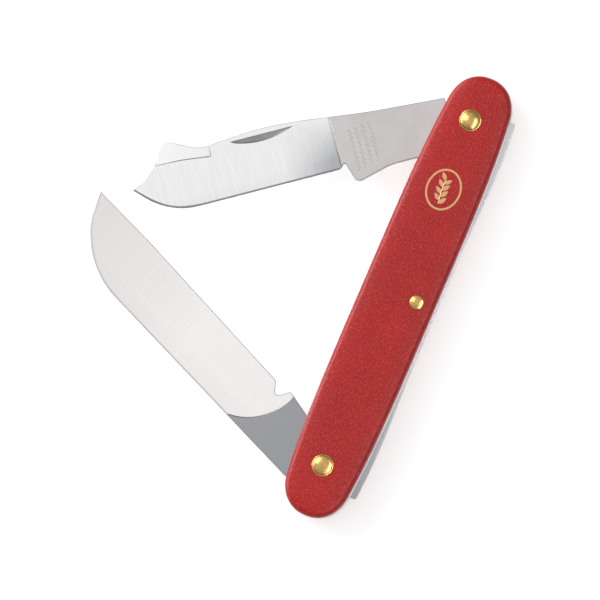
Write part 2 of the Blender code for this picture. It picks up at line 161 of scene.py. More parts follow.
class Finish:
    """A material whose nodes are added by the lines that describe it."""

    def __init__(self, name, fixed):
        self.material = bpy.data.materials.new(name)
        self.material.use_nodes = True
        self.tree = self.material.node_tree
        self.shader = self.tree.nodes["Principled BSDF"]
        for socket, value in fixed.items():
            self.feed(socket, value)

    def add(self, kind, settings=None, inputs=None, output=0):
        node = self.tree.nodes.new(kind)
        for key, value in (settings or {}).items():
            setattr(node, key, value)
        for key, value in (inputs or {}).items():
            self.plug(node.inputs[key], value)
        return Wire(self, node.outputs[output])

    def plug(self, socket, value):
        if isinstance(value, Wire):
            self.tree.links.new(value.socket, socket)
        else:
            socket.default_value = value

    def feed(self, socket, value):
        self.plug(self.shader.inputs[socket], value)

    def place(self, centre=(0, 0, 0), turn=0.0, stretch=(1, 1, 1)):
        """Object coordinates in millimetres from centre, turned by turn degrees."""
        here = self.add("ShaderNodeTexCoord", output="Object")
        at = [c * MM for c in centre]
        moved = {"Location": at, "Rotation": (0, 0, math.radians(turn))}
        scaled = [s / MM for s in stretch]
        here = self.add(
            "ShaderNodeMapping", {"vector_type": "TEXTURE"}, {0: here, **moved}
        )
        return self.add("ShaderNodeMapping", {}, {0: here, "Scale": scaled})

    def axis(self, where, letter):
        return self.add("ShaderNodeSeparateXYZ", {}, {0: where}, output=letter)

    def noise(self, where, scale, detail=2.0, rough=0.5):
        sizes = {"Vector": where, "Scale": scale, "Detail": detail, "Roughness": rough}
        return self.add("ShaderNodeTexNoise", {}, sizes)

    def blend(self, share, a, b):
        """A colour from a to b."""
        colours = {0: share, 6: (*a, 1) if isinstance(a, tuple) else a}
        colours[7] = (*b, 1) if isinstance(b, tuple) else b
        return self.add("ShaderNodeMix", {"data_type": "RGBA"}, colours, output=2)

    def spread(self, wire, low, high):
        """The part of a noise between low and high, opened out to run from 0 to 1."""
        span = {"Value": wire, "From Min": low, "From Max": high}
        return self.add("ShaderNodeMapRange", {}, span)

    def bump(self, height, depth, strength=1.0):
        relief = {"Height": height, "Distance": depth * MM, "Strength": strength}
        self.feed("Normal", self.add("ShaderNodeBump", {}, relief))


METAL = {"Metallic": 1.0}

# %% [markdown]
# ## Red nylon
# The scales are moulded in a steel tool whose face was spark eroded, which leaves a
# fine pebbled grain about a third of a millimetre across. Two sizes of noise make the
# pebbles: their heights go to the bump, and their tops are smoother than the hollows
# between them and painted a little lighter, as painted glints.


# %% Nylon
def red_nylon():
    nylon = Finish("red_nylon", {"Specular IOR Level": 0.33})
    where = nylon.place()
    pebbles = nylon.spread(nylon.noise(where, 3.2, 3.0, 0.6), 0.32, 0.68)
    fine = nylon.noise(where, 9.0, 2.0, 0.5)
    drift = nylon.spread(nylon.noise(where, 0.12, 2.0), 0.35, 0.65)
    relief = pebbles * 0.7 + fine * 0.3
    dark = nylon.blend(drift, (0.235, 0.002, 0.002), (0.272, 0.002, 0.002))
    # The pebbles' tops are painted lighter: painted glints.
    glint_tops = nylon.spread(relief, 0.52, 0.82)
    nylon.feed("Base Color", nylon.blend(glint_tops, dark, (0.40, 0.03, 0.024)))
    nylon.feed("Roughness", 0.4 - 0.12 * glint_tops)
    nylon.bump(relief, 0.04, 0.8)
    return nylon.material


RED_NYLON = red_nylon()
print(RED_NYLON.name, "has", len(RED_NYLON.node_tree.nodes), "nodes")

# %% [markdown]
# ## Blade steel
# A blade leaves the grinder with fine lines across it, where the wheel's grit ran.
# Stretching a noise makes such lines: here it changes quickly along the blade and
# slowly across it. Each blade has its own direction, so the pattern is turned to the
# blade's resting angle about its pivot. The unground part near the pivot, the
# ricasso, has its own finish; the bark lifter is a little smoother and painted darker,
# as painted shade. Broad painted shade, the painted shade of a honed edge and the
# springs' painted shade are sums of the same two coordinates.

# %% Where the pivots are
JOINTS = {j["name"]: j for j in frame["joints"]}
HEAD = [c / MM for c in JOINTS["budding_blade_pivot"]["pos_m"]]
FOOT = [c / MM for c in JOINTS["grafting_blade_pivot"]["pos_m"]]
SPRING_PIN = [c / MM for c in JOINTS["budding_spring_flex"]["pos_m"]]
print("pivots at", HEAD[:2], "and", FOOT[:2])

# Each blade lies at an angle from +X, and its outline is given along and across it.
BUDDING_ANGLE = 128.36
BUDDING_TIP = (73.0, -5.0)
BUDDING_BELLY = (66.5, 1.8)
BUDDING_HEEL = (29.3, 2.3)
GRAFTING_ANGLE = 68.36
GRAFTING_TIP = (75.2, -7.55)
GRAFTING_POINT = (72.3, -1.5)
GRAFTING_DROP = (64.6, 5.95)
GRAFTING_SHOULDER = (4.2, 7.45)
# Painted shade: this grey stands in for the honed bevel turned away from the light.
HONED_EDGE_SHADE = (0.17, 0.17, 0.18)


# %% Ground, matte and polished steel
def ground_steel(name, pivot, angle, light, dark, rough, lines, shade=None, rim=None):
    """Steel with fine lines across the blade; lines is how deep they look.

    shade and rim, if given, take the finish and the place along and across the blade
    in millimetres. shade returns how far the steel is towards the dark colour, as
    painted shade, and rim how much of the painted shade of the honed edge shows.
    """
    steel = Finish(name, METAL)
    across = steel.place(pivot, angle, (6.0, 0.2, 1.0))
    wide = steel.place(pivot, angle, (1.1, 0.05, 1.0))
    fine = steel.noise(across, 1.0, 3.0, 0.6)
    broad = steel.spread(steel.noise(wide, 1.0, 2.0), 0.3, 0.7)
    tone = steel.spread(fine, 0.3, 0.7) * lines + broad * (0.2 * lines)
    blade = steel.place(pivot, angle)
    along, side = steel.axis(blade, "X"), steel.axis(blade, "Y")
    if shade:
        tone = tone + shade(steel, along, side)
    tone = tone.clamp()
    colour = steel.blend(tone, light, dark)
    # The honed edge's painted shade is blended in.
    if rim:
        colour = steel.blend(rim(steel, along, side), colour, HONED_EDGE_SHADE)
    steel.feed("Base Color", colour)
    steel.feed("Roughness", rough + 0.1 * tone)
    steel.bump(fine, 0.002, 0.25)
    return steel.material


def matte_steel(name, light, dark, rough):
    """Steel that was tumbled, not ground: a fine even grain."""
    steel = Finish(name, METAL)
    where = steel.place()
    grain = steel.noise(where, 6.0, 3.0, 0.6)
    cloud = steel.spread(steel.noise(where, 0.25, 3.0), 0.35, 0.65)
    steel.feed("Base Color", steel.blend(grain * 0.5 + cloud * 0.5, dark, light))
    steel.feed("Roughness", rough + 0.08 * grain)
    steel.bump(grain, 0.003, 0.5)
    return steel.material


def depth_from(along, across, start, end):
    """How far a place lies behind the line from start to end, in millimetres."""
    run = Vector(end) - Vector(start)
    out = Vector((-run.y, run.x)).normalized()
    return (out.dot(Vector(start)) - (along * out.x + across * out.y)) * -1


def budding_edge_shade(steel, along, across):
    """Painted shade of the honed cutting edge: a straight run that curves up to the tip."""
    straight = depth_from(along, across, BUDDING_BELLY, BUDDING_HEEL)
    belly = depth_from(along, across, BUDDING_TIP, BUDDING_BELLY)
    depth = straight.math("SMOOTH_MIN", belly, 7.0)
    return (1 - steel.spread(depth, 0.2, 0.5)) * 0.95


def grafting_back_shade(steel, along, across):
    """A faint painted shade along the back and round to the tip."""
    back = depth_from(along, across, GRAFTING_DROP, GRAFTING_SHOULDER)
    drop = depth_from(along, across, GRAFTING_POINT, GRAFTING_DROP)
    tip = depth_from(along, across, GRAFTING_TIP, GRAFTING_POINT)
    depth = back.math("SMOOTH_MIN", drop, 8.2).math("SMOOTH_MIN", tip, 1.3)
    return (1 - steel.spread(depth, 0.15, 0.55)) * 0.28


def budding_shade(steel, along, across):
    """Painted shade: darker at the plunge line, beside it, and along the edge towards the tip.
    """
    plunge = 1 - steel.spread(along, 28.85, 29.3)
    fading = 1 - steel.spread(along, 30.0, 41.0)
    beside = fading * steel.spread(across, -9.0, 0.0) * 0.9
    edge = steel.spread(across, -1.2, 2.1) * 0.12
    return plunge * 0.5 + beside + edge


def grafting_shade(steel, along, across):
    """Painted shade: a little darker towards the tip and the back."""
    return steel.spread(along, 40.0, 72.0) * 0.75 + steel.spread(across, 2.0, 7.5) * 0.2


def ricasso_shade(steel, along, across):
    """Painted shade: the polished ricasso is darkest in the middle of its width."""
    return (across * 0.05).math("COSINE") * 0.25


def spring_shade(steel, along, across):
    """Painted shade: the springs are darker towards the foot."""
    return steel.spread(across, 0.0, 42.0) * 0.85


BUDDING_FACE = ground_steel(
    "budding_face",
    HEAD,
    BUDDING_ANGLE,
    (0.99, 0.98, 0.985),
    (0.42, 0.43, 0.45),
    0.24,
    0.16,
    budding_shade,
    budding_edge_shade,
)
BUDDING_RICASSO = matte_steel(
    "budding_ricasso", (0.50, 0.48, 0.475), (0.43, 0.415, 0.41), 0.42
)
# Painted shade: the lifter's facet is a darker copy of the blade face's steel.
LIFTER_SHADED_FACE = ground_steel(
    "lifter_shaded_steel",
    HEAD,
    BUDDING_ANGLE - 35,
    (0.76, 0.75, 0.745),
    (0.60, 0.595, 0.59),
    0.2,
    0.2,
)
GRAFTING_FACE = ground_steel(
    "grafting_face",
    FOOT,
    GRAFTING_ANGLE,
    (0.97, 0.945, 0.935),
    (0.64, 0.62, 0.61),
    0.22,
    0.12,
    grafting_shade,
    grafting_back_shade,
)
GRAFTING_RICASSO = ground_steel(
    "grafting_ricasso",
    FOOT,
    GRAFTING_ANGLE + 90,
    (0.42, 0.425, 0.44),
    (0.26, 0.265, 0.28),
    0.14,
    0.2,
    ricasso_shade,
)
# Painted shade: the blades' steep edges and bevels, and the nail nick, are dark steel.
BLADE_EDGE_SHADE = matte_steel("blade_edge_shade", (0.30, 0.30, 0.31), (0.20, 0.20, 0.21), 0.28)
NICK_SHADE_STEEL = matte_steel("nick_shade_steel", (0.26, 0.26, 0.27), (0.14, 0.14, 0.15), 0.3)
SPRING_STEEL = ground_steel(
    "spring_steel",
    SPRING_PIN,
    90,
    (0.68, 0.69, 0.71),
    (0.38, 0.385, 0.40),
    0.25,
    0.15,
    spring_shade,
)
LINER_METAL = matte_steel("liner_metal", (0.75, 0.75, 0.75), (0.6, 0.6, 0.6), 0.32)
print(len(bpy.data.materials), "materials so far")

# %% [markdown]
# ## Brass and gold foil
# The rivets are brass. A peened head is never perfectly round: the hammer leaves
# shallow facets, which a cell pattern gives as soft dents. The mark on the front
# scale is gold foil pressed into the nylon, and here it has a fine grain of its own.


# %% Brass and foil
def hammered_brass(name, dents):
    brass = Finish(name, METAL)
    where = brass.place()
    cells = brass.add(
        "ShaderNodeTexVoronoi",
        {"feature": "SMOOTH_F1"},
        {"Vector": where, "Scale": 1.3, "Smoothness": 0.6},
    )
    scratch = brass.noise(where, 9.0, 3.0, 0.6)
    tone = brass.spread(brass.noise(where, 1.5, 2.0), 0.3, 0.7)
    brass.feed(
        "Base Color", brass.blend(tone, (0.52, 0.32, 0.10), (0.67, 0.43, 0.16))
    )
    brass.feed("Roughness", 0.2 + 0.12 * scratch)
    brass.bump(cells * dents + scratch * 0.02, 0.12, 0.7)
    return brass.material


def gold_foil():
    foil = Finish("gold_foil", METAL)
    where = foil.place()
    grain = foil.noise(where, 5.0, 3.0, 0.6)
    wear = foil.spread(grain, 0.3, 0.7)
    foil.feed("Base Color", foil.blend(wear, (0.48, 0.26, 0.11), (0.76, 0.50, 0.27)))
    foil.feed("Roughness", 0.42 - 0.12 * wear)
    foil.bump(grain, 0.02, 0.6)
    return foil.material


ROUND_BRASS = hammered_brass("rivet_brass", 0.08)
PEENED_BRASS = hammered_brass("peened_brass", 0.3)
COLLAR_BRASS = hammered_brass("collar_brass", 0.0)
GOLD_FOIL = gold_foil()
print("brass and foil:", ROUND_BRASS.name, PEENED_BRASS.name, GOLD_FOIL.name)

# %% [markdown]
# ## The scales
# A scale is a plate with a gently narrowing plan, full rounded ends and a softly
# rounded rim. Its shape follows a rule, so it is laid out as rings: each ring is the
# plan moved inwards by some distance and raised to a height, and quads join ring to
# ring. Holes for the rivets are then cut with a Boolean, which keeps the rim's rings
# even and smooth.

# %% The handle's plan
HALF_LENGTH = 50.0
HALF_WIDTH = 8.05
END_TAPER = 1.12
TAPER_END = 43.0
NOSE_START = 42.5
NOSE_CENTRE = 41.6
NOSE_HALF_WIDTH = 7.0
NOSE_POWER = 2.2


NOSE_REACH = HALF_LENGTH - NOSE_CENTRE


def half_width(x):
    return HALF_WIDTH - END_TAPER * (abs(x) / TAPER_END) ** 4


def nose_point(angle):
    along = abs(math.cos(angle)) ** (2 / NOSE_POWER)
    across = abs(math.sin(angle)) ** (2 / NOSE_POWER)
    side = math.copysign(across, angle) * NOSE_HALF_WIDTH
    return Vector((NOSE_CENTRE + NOSE_REACH * along, side))


def handle_plan(nose_steps=72, side_steps=60):
    """The handle's outline in millimetres, anticlockwise."""
    widest = math.acos(((NOSE_START - NOSE_CENTRE) / NOSE_REACH) ** (NOSE_POWER / 2))
    turns = [widest * (2 * k / nose_steps - 1) for k in range(nose_steps + 1)]
    nose = [nose_point(a) for a in turns]
    xs = [NOSE_START * (1 - 2 * k / side_steps) for k in range(1, side_steps)]
    half = nose + [Vector((x, half_width(x))) for x in xs]
    return half + [-p for p in half]


def inward_normals(plan):
    """The direction into the shape at each point of an anticlockwise outline."""
    count = len(plan)
    runs = [(plan[(k + 1) % count] - plan[k - 1]).normalized() for k in range(count)]
    return [Vector((-run.y, run.x)) for run in runs]


# %% A shell of rings
def shell(rings):
    """A closed solid from rings of (plan points, height); the ends are filled."""
    work = bmesh.new()
    loops = []
    for points, z in rings:
        loops.append([work.verts.new((p.x * MM, p.y * MM, z * MM)) for p in points])
    for lower, upper in zip(loops, loops[1:]):
        count = len(lower)
        for k in range(count):
            after = (k + 1) % count
            work.faces.new((lower[k], lower[after], upper[after], upper[k]))
    work.faces.new(list(reversed(loops[0])))
    work.faces.new(loops[-1])
    bmesh.ops.recalc_face_normals(work, faces=work.faces)
    return work


EDGE_RADIUS = 1.35
EDGE_CHAMFER = 0.12
CROWN_SLOPE = math.radians(8)
CROWN_WIDTH = 3.3


def scale_section(thickness, edge_steps=14, crown_steps=8):
    """(inwards, height) from the inner face's rim up over the edge to the flat."""
    turn = math.pi / 2 - CROWN_SLOPE
    crown_radius = CROWN_WIDTH / math.sin(CROWN_SLOPE)
    crown_rise = crown_radius * (1 - math.cos(CROWN_SLOPE))
    wall = thickness - EDGE_RADIUS * math.sin(turn) - crown_rise
    section = [(EDGE_CHAMFER, 0.0), (0.0, EDGE_CHAMFER)]
    for k in range(edge_steps + 1):
        a = turn * k / edge_steps
        inwards = EDGE_RADIUS * (1 - math.cos(a))
        section.append((inwards, wall + EDGE_RADIUS * math.sin(a)))
    edge_in = section[-1][0]
    for k in range(1, crown_steps + 1):
        left = CROWN_SLOPE * (1 - k / crown_steps)
        inwards = edge_in + CROWN_WIDTH - crown_radius * math.sin(left)
        section.append((inwards, thickness - crown_radius * (1 - math.cos(left))))
    return section


# %% Drilling for the rivets
def drill(target, name, centre, radius, low, high):
    """Cuts an upright round hole through the target, from low to high."""
    mesh = bpy.data.meshes.new(name)
    work = bmesh.new()
    bmesh.ops.create_cone(
        work, cap_ends=True, segments=96, radius1=radius * MM, radius2=radius * MM,
        depth=(high - low) * MM,
    )
    place = Vector((centre[0], centre[1], (low + high) / 2)) * MM
    bmesh.ops.translate(work, verts=work.verts, vec=place)
    work.to_mesh(mesh)
    work.free()
    tool = bpy.data.objects.new(name, mesh)
    bpy.context.scene.collection.objects.link(tool)
    cut = target.modifiers.new(name, "BOOLEAN")
    cut.operation = "DIFFERENCE"
    cut.object = tool
    applied(target)
    bpy.data.objects.remove(tool)


RIGHT_THROUGH = 9.0
RIVET_HOLES = (
    # name, centre, radius and depth from the outer face
    ("head_seat", HEAD, 2.38, 0.85),
    ("foot_seat", FOOT, 2.38, 0.85),
    ("pin_seat", SPRING_PIN, 1.53, 0.5),
    ("head_shank", HEAD, 1.28, RIGHT_THROUGH),
    ("foot_shank", FOOT, 1.28, RIGHT_THROUGH),
    ("pin_shank", SPRING_PIN, 1.03, RIGHT_THROUGH),
)


def make_scale(name, node, outwards):
    """A scale whose outer face looks up or down: outwards is 1 or -1."""
    low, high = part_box(node)
    inner, outer = (low.z, high.z) if outwards > 0 else (high.z, low.z)
    plan = handle_plan()
    normals = inward_normals(plan)
    rings = []
    for inwards, height in scale_section(abs(outer - inner) / MM):
        ring = [p + n * inwards for p, n in zip(plan, normals)]
        rings.append((ring, inner / MM + outwards * height))
    scale = as_object(shell(rings), name, [RED_NYLON])
    face = outer / MM
    for rivet, centre, radius, depth in RIVET_HOLES:
        ends = sorted((face - outwards * depth, face + outwards * 2))
        drill(scale, rivet, centre, radius, *ends)
    scale.data.shade_smooth()
    scale.data.set_sharp_from_angle(angle=math.radians(35))
    settle(scale, "handle", "red_nylon", node)


make_scale("front_scale_moulding", "front_scale", 1)
make_scale("rear_scale_moulding", "rear_scale", -1)

# %% [markdown]
# ## Liners and springs
# These are stamped from sheet, so the frame's own shapes are right. Each is copied,
# its loose triangles are joined back into whole faces, and its edges get a tiny bevel:
# no real edge is perfectly sharp, and the bevel is what catches the light.


# %% Copying a node and softening its edges
EDGE_ANGLE = math.radians(32)


def softened(node, name, materials, width, sort_faces=None, bevel_slot=-1):
    """A copy of a CAD node with joined faces, sorted finishes and bevelled edges.

    A shallow edge between two finishes is a line that a grinder left. It is too flat
    for a bevel, so it stays sharp, and each ground face is shaded as a plane.
    """
    work = bmesh.new()
    work.from_mesh(frame["nodes"][node].data)
    bmesh.ops.remove_doubles(work, verts=work.verts, dist=2e-6)
    bmesh.ops.dissolve_limit(
        work,
        angle_limit=math.radians(0.4),
        verts=work.verts,
        edges=work.edges,
    )
    if sort_faces:
        for face in work.faces:
            face.material_index = sort_faces(face)
    work.edges.index_update()
    ground_lines = set()
    for edge in work.edges:
        sides = {face.material_index for face in edge.link_faces}
        if len(sides) > 1 and edge.calc_face_angle() < EDGE_ANGLE:
            ground_lines.add(edge.index)
    made = as_object(work, name, materials)
    for edge in made.data.edges:
        edge.use_edge_sharp = edge.index in ground_lines
    bevel = made.modifiers.new("edge", "BEVEL")
    bevel.width = width * MM
    bevel.segments = 3
    bevel.limit_method = "ANGLE"
    bevel.angle_limit = EDGE_ANGLE
    bevel.material = bevel_slot
    bevel.use_clamp_overlap = False
    even = made.modifiers.new("flat faces stay flat", "WEIGHTED_NORMAL")
    even.weight = 100
    even.keep_sharp = True
    return applied(made)


for node in ("rear_liner", "centre_liner", "front_liner"):
    liner = softened(node, f"{node}_sheet", [LINER_METAL], 0.06)
    settle(liner, "handle", "liner_metal", node)

# %% [markdown]
# A spring bends like a leaf: still at its rivet, and more and more towards its free
# end. Here each leaf is a softened copy of the frame's spring, left where it lies.


def make_spring(node):
    """A leaf whose free arm runs towards +X or -X, copied from its CAD node."""
    spring = softened(node, f"{node}_leaf", [SPRING_STEEL], 0.1)
    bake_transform(spring)
    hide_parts(node)
    print(spring.name, "has", len(spring.data.polygons), "faces")


make_spring("budding_spring")
make_spring("grafting_spring")

# %% [markdown]
# ## The blades
# A blade's faces tell its story: the flat ricasso was never ground, the two wide faces
# lean a few degrees towards the edge, the lifter's facet leans more, and the nail nick
# is a steep little cut. The lean of a face therefore says which finish it has, and the
# lifter, the nick and the steep edges are painted darker, as painted shade.


# %% Sorting a blade's faces by how far they lean
FACE, RICASSO, LIFTER, NICK, EDGE = range(5)
MOST_LEAN = ((RICASSO, 1.2), (FACE, 4.6), (LIFTER, 12.0), (NICK, 50.0))
BLADE_BEVEL = 0.12


def blade_finish(face):
    lean = math.degrees(math.acos(min(1.0, abs(face.normal.z))))
    for kind, limit in MOST_LEAN:
        if lean < limit:
            return kind
    return EDGE


budding_blade = softened(
    "budding_blade",
    "budding_blade_steel",
    [BUDDING_FACE, BUDDING_RICASSO, LIFTER_SHADED_FACE, NICK_SHADE_STEEL, BLADE_EDGE_SHADE],
    BLADE_BEVEL,
    blade_finish,
    EDGE,
)
settle(budding_blade, "budding_blade_body", "blade_steel", "budding_blade")
grafting_blade = softened(
    "grafting_blade",
    "grafting_blade_steel",
    [GRAFTING_FACE, GRAFTING_RICASSO, GRAFTING_FACE, NICK_SHADE_STEEL, BLADE_EDGE_SHADE],
    BLADE_BEVEL,
    blade_finish,
    EDGE,
)
settle(grafting_blade, "grafting_blade_body", "blade_steel", "grafting_blade")

# %% [markdown]
# ## Rivets
# Rivets and collars are turned, so each is a profile that is spun around an axis. The
# collar is a little cup with a rolled rim, and the pivot's domed head sits in it. The
# pin at the middle has no collar.


# %% Turning
def turned(name, profile, centre, material, flip=False):
    """Spins a profile of (radius, height), given from the top down its outer side."""
    work = bmesh.new()
    verts = [work.verts.new((r * MM, 0, z * MM)) for r, z in profile]
    chain = [work.edges.new(pair) for pair in zip(verts, verts[1:])]
    if profile[0][0] > 0:
        chain.append(work.edges.new((verts[-1], verts[0])))
    bmesh.ops.spin(
        work,
        geom=verts + chain,
        axis=(0, 0, 1),
        cent=(0, 0, 0),
        angle=2 * math.pi,
        steps=96,
        use_merge=True,
    )
    bmesh.ops.remove_doubles(work, verts=work.verts, dist=1e-7)
    if flip:
        over = Matrix.Rotation(math.pi, 4, "X")
        bmesh.ops.transform(work, verts=work.verts, matrix=over)
        bmesh.ops.translate(work, verts=work.verts, vec=(0, 0, TOP * MM))
    place = Vector((centre[0], centre[1], 0)) * MM
    bmesh.ops.translate(work, verts=work.verts, vec=place)
    bmesh.ops.recalc_face_normals(work, faces=work.faces)
    return as_object(work, name, [material], sharp=50)


def arc(centre_r, centre_z, radius, start, end, steps):
    """Points of a circular arc in a profile, from start to end degrees."""
    turns = [start + (end - start) * k / steps for k in range(steps + 1)]
    return [
        (
            centre_r + radius * math.cos(math.radians(a)),
            centre_z + radius * math.sin(math.radians(a)),
        )
        for a in turns
    ]


def dome(radius, height, base, steps=14):
    """A shallow dome's profile, from its top on the axis to its rim at base."""
    ball = (radius**2 + height**2) / (2 * height)
    reach = math.asin(radius / ball)
    turns = [reach * k / steps for k in range(steps + 1)]
    return [
        (ball * math.sin(a), base + height - ball * (1 - math.cos(a))) for a in turns
    ]


# %% Pivot pins and their collars
RIM = TOP + 0.14
DISH = TOP - 0.26
COLLAR_LOW = TOP - 0.81
COLLAR_RADIUS = 2.34
COLLAR_BORE = 1.29
COLLAR_ROLL = 0.17
DISH_RADIUS = 1.98
HEAD_RADIUS = 1.92
SHANK_RADIUS = 1.25


def mirrored(upper):
    """The profile of a rivet with the same head at both ends of its shank."""
    return [*upper, *[(r, TOP - z) for r, z in reversed(upper)]]


def pivot_pin(name, node, centre, material, height):
    head = dome(HEAD_RADIUS, height, TOP + 0.1)
    under = arc(HEAD_RADIUS - 0.01, TOP + 0.05, 0.05, 60, -60, 4)
    profile = mirrored([*head[:-1], *under, (SHANK_RADIUS, DISH + 0.05)])
    pin = turned(name, profile, centre, material)
    settle(pin, "handle", "rivet_brass", node)


def collar(name, node, centre, flip):
    profile = [
        *arc(COLLAR_RADIUS - COLLAR_ROLL, RIM - COLLAR_ROLL, COLLAR_ROLL, 180, 0, 12),
        (COLLAR_RADIUS, COLLAR_LOW),
        (COLLAR_BORE, COLLAR_LOW),
        (COLLAR_BORE, DISH),
        (DISH_RADIUS, DISH),
    ]
    ring = turned(name, profile, centre, COLLAR_BRASS, flip)
    settle(ring, "handle", "rivet_brass", node)


pivot_pin("head_pivot_rivet", "head_pivot_pin", HEAD, ROUND_BRASS, 0.5)
pivot_pin("foot_pivot_rivet", "foot_pivot_pin", FOOT, PEENED_BRASS, 0.34)
for place, centre in (("head", HEAD), ("foot", FOOT)):
    collar(f"{place}_front_cup", f"{place}_front_collar", centre, False)
    collar(f"{place}_rear_cup", f"{place}_rear_collar", centre, True)

# %% The plain pin that both springs turn on
seat = TOP - 0.46
pin_head = [*dome(1.44, 0.3, TOP + 0.05)[:-1], *arc(1.42, TOP, 0.06, 60, 0, 4)]
pin_profile = mirrored([*pin_head, (1.48, seat), (1.0, seat)])
spring_pin = turned("spring_rivet", pin_profile, SPRING_PIN, ROUND_BRASS)
settle(spring_pin, "handle", "rivet_brass", "spring_pin")

# %% [markdown]
# ## The gold mark
# The mark on the front scale is a sprig of leaves in a thin oval, fit for a gardener's
# knife. Leaves along a stem are a repeat along a path, so Geometry Nodes set them out:
# points along the stem, a leaf on each, every other one turned to the other side, and
# a little seeded variation in their size.


# %% One leaf
def leaf_shape(name, length, width, thick, steps=7):
    """A pointed leaf along +X from the origin, as a thin plate."""
    work = bmesh.new()
    upper = []
    for k in range(steps + 1):
        t = k / steps
        swell = math.sin(math.pi * t) ** 0.8 * (1.15 - 0.3 * t)
        upper.append((length * t, width / 2 * swell))
    outline = upper + [(x, -y) for x, y in reversed(upper[1:-1])]
    low = [work.verts.new((x * MM, y * MM, -thick * MM)) for x, y in outline]
    face = work.faces.new(low)
    grown = bmesh.ops.extrude_face_region(work, geom=[face])
    top = [g for g in grown["geom"] if isinstance(g, bmesh.types.BMVert)]
    bmesh.ops.translate(work, verts=top, vec=(0, 0, thick * MM))
    bmesh.ops.recalc_face_normals(work, faces=work.faces)
    return as_object(work, name, [])


# %% Geometry Nodes that set leaves along a stem
def sprig_tree():
    tree = bpy.data.node_groups.new("leaves_along_stem", "GeometryNodeTree")
    interface = tree.interface
    interface.new_socket("Stem", in_out="INPUT", socket_type="NodeSocketGeometry")
    for name, kind, value in (
        ("Leaf", "NodeSocketObject", None),
        ("Leaf count", "NodeSocketInt", 7),
        ("Leaf angle", "NodeSocketFloat", math.radians(42)),
        ("Size variation", "NodeSocketFloat", 0.12),
        ("Stem radius", "NodeSocketFloat", 0.0002),
        ("Seed", "NodeSocketInt", 3),
        ("Finish", "NodeSocketMaterial", None),
    ):
        socket = interface.new_socket(name, in_out="INPUT", socket_type=kind)
        if value is not None:
            socket.default_value = value
    interface.new_socket("Sprig", in_out="OUTPUT", socket_type="NodeSocketGeometry")
    nodes, links = tree.nodes, tree.links

    def plug(socket, value):
        if isinstance(value, bpy.types.NodeSocket):
            links.new(value, socket)
        else:
            socket.default_value = value

    def add(kind, settings=None, **inputs):
        node = nodes.new(kind)
        for key, value in (settings or {}).items():
            setattr(node, key, value)
        for key, value in inputs.items():
            plug(node.inputs[key.replace("_", " ")], value)
        return node

    def sum_of(operation, *values):
        node = add("ShaderNodeMath", {"operation": operation})
        for place, value in enumerate(values):
            plug(node.inputs[place], value)
        return node.outputs[0]

    given = nodes.new("NodeGroupInput").outputs
    path = add("GeometryNodeMeshToCurve", Mesh=given["Stem"])
    spots = add(
        "GeometryNodeResampleCurve",
        Curve=path.outputs[0],
        Count=given["Leaf count"],
    )
    index = add("GeometryNodeInputIndex")
    parity = sum_of("MODULO", index.outputs[0], 2)
    side = sum_of("MULTIPLY_ADD", parity, 2, -1)
    lean = sum_of("MULTIPLY", side, given["Leaf angle"])
    turn = add("ShaderNodeCombineXYZ", Z=lean)
    along = add("GeometryNodeInputTangent")
    facing = add(
        "FunctionNodeAlignRotationToVector", {"axis": "X"}, Vector=along.outputs[0]
    )
    leaning = add(
        "FunctionNodeRotateRotation",
        {"rotation_space": "LOCAL"},
        Rotation=facing.outputs[0],
        Rotate_By=turn.outputs[0],
    )
    smallest = sum_of("SUBTRACT", 1, given["Size variation"])
    size = add("FunctionNodeRandomValue", {"data_type": "FLOAT"}, Seed=given["Seed"])
    links.new(smallest, size.inputs[2])
    size.inputs[3].default_value = 1.0
    leaf = add("GeometryNodeObjectInfo", Object=given["Leaf"])
    leaves = add(
        "GeometryNodeInstanceOnPoints",
        Points=spots.outputs[0],
        Instance=leaf.outputs["Geometry"],
        Rotation=leaning.outputs[0],
        Scale=size.outputs[1],
    )
    ring = add(
        "GeometryNodeCurvePrimitiveCircle", Resolution=8, Radius=given["Stem radius"]
    )
    sink = sum_of("MULTIPLY", given["Stem radius"], -0.6)
    down = add("ShaderNodeCombineXYZ", Z=sink)
    sunk = add(
        "GeometryNodeSetPosition", Geometry=path.outputs[0], Offset=down.outputs[0]
    )
    stem = add(
        "GeometryNodeCurveToMesh",
        Curve=sunk.outputs[0],
        Profile_Curve=ring.outputs[0],
        Fill_Caps=True,
    )
    joined = add("GeometryNodeJoinGeometry")
    links.new(leaves.outputs[0], joined.inputs[0])
    links.new(stem.outputs[0], joined.inputs[0])
    real = add("GeometryNodeRealizeInstances", Geometry=joined.outputs[0])
    done = add(
        "GeometryNodeSetMaterial", Geometry=real.outputs[0], Material=given["Finish"]
    )
    out = nodes.new("NodeGroupOutput")
    links.new(done.outputs[0], out.inputs[0])
    return tree


SPRIG = sprig_tree()
print("the sprig tree has", len(SPRIG.nodes), "nodes")


# %% Growing a sprig
def sprig(name, points, leaf, sizes, finish):
    """A sprig along points, in millimetres, with its modifier worked in."""
    work = bmesh.new()
    verts = [work.verts.new(Vector(p) * MM) for p in points]
    for pair in zip(verts, verts[1:]):
        work.edges.new(pair)
    made = as_object(work, name, [])
    grow = made.modifiers.new("sprig", "NODES")
    grow.node_group = SPRIG
    values = {"Leaf": leaf, "Finish": finish, **sizes}
    for item in SPRIG.interface.items_tree:
        if item.item_type == "SOCKET" and item.name in values:
            grow[item.identifier] = values[item.name]
    applied(made)
    return made


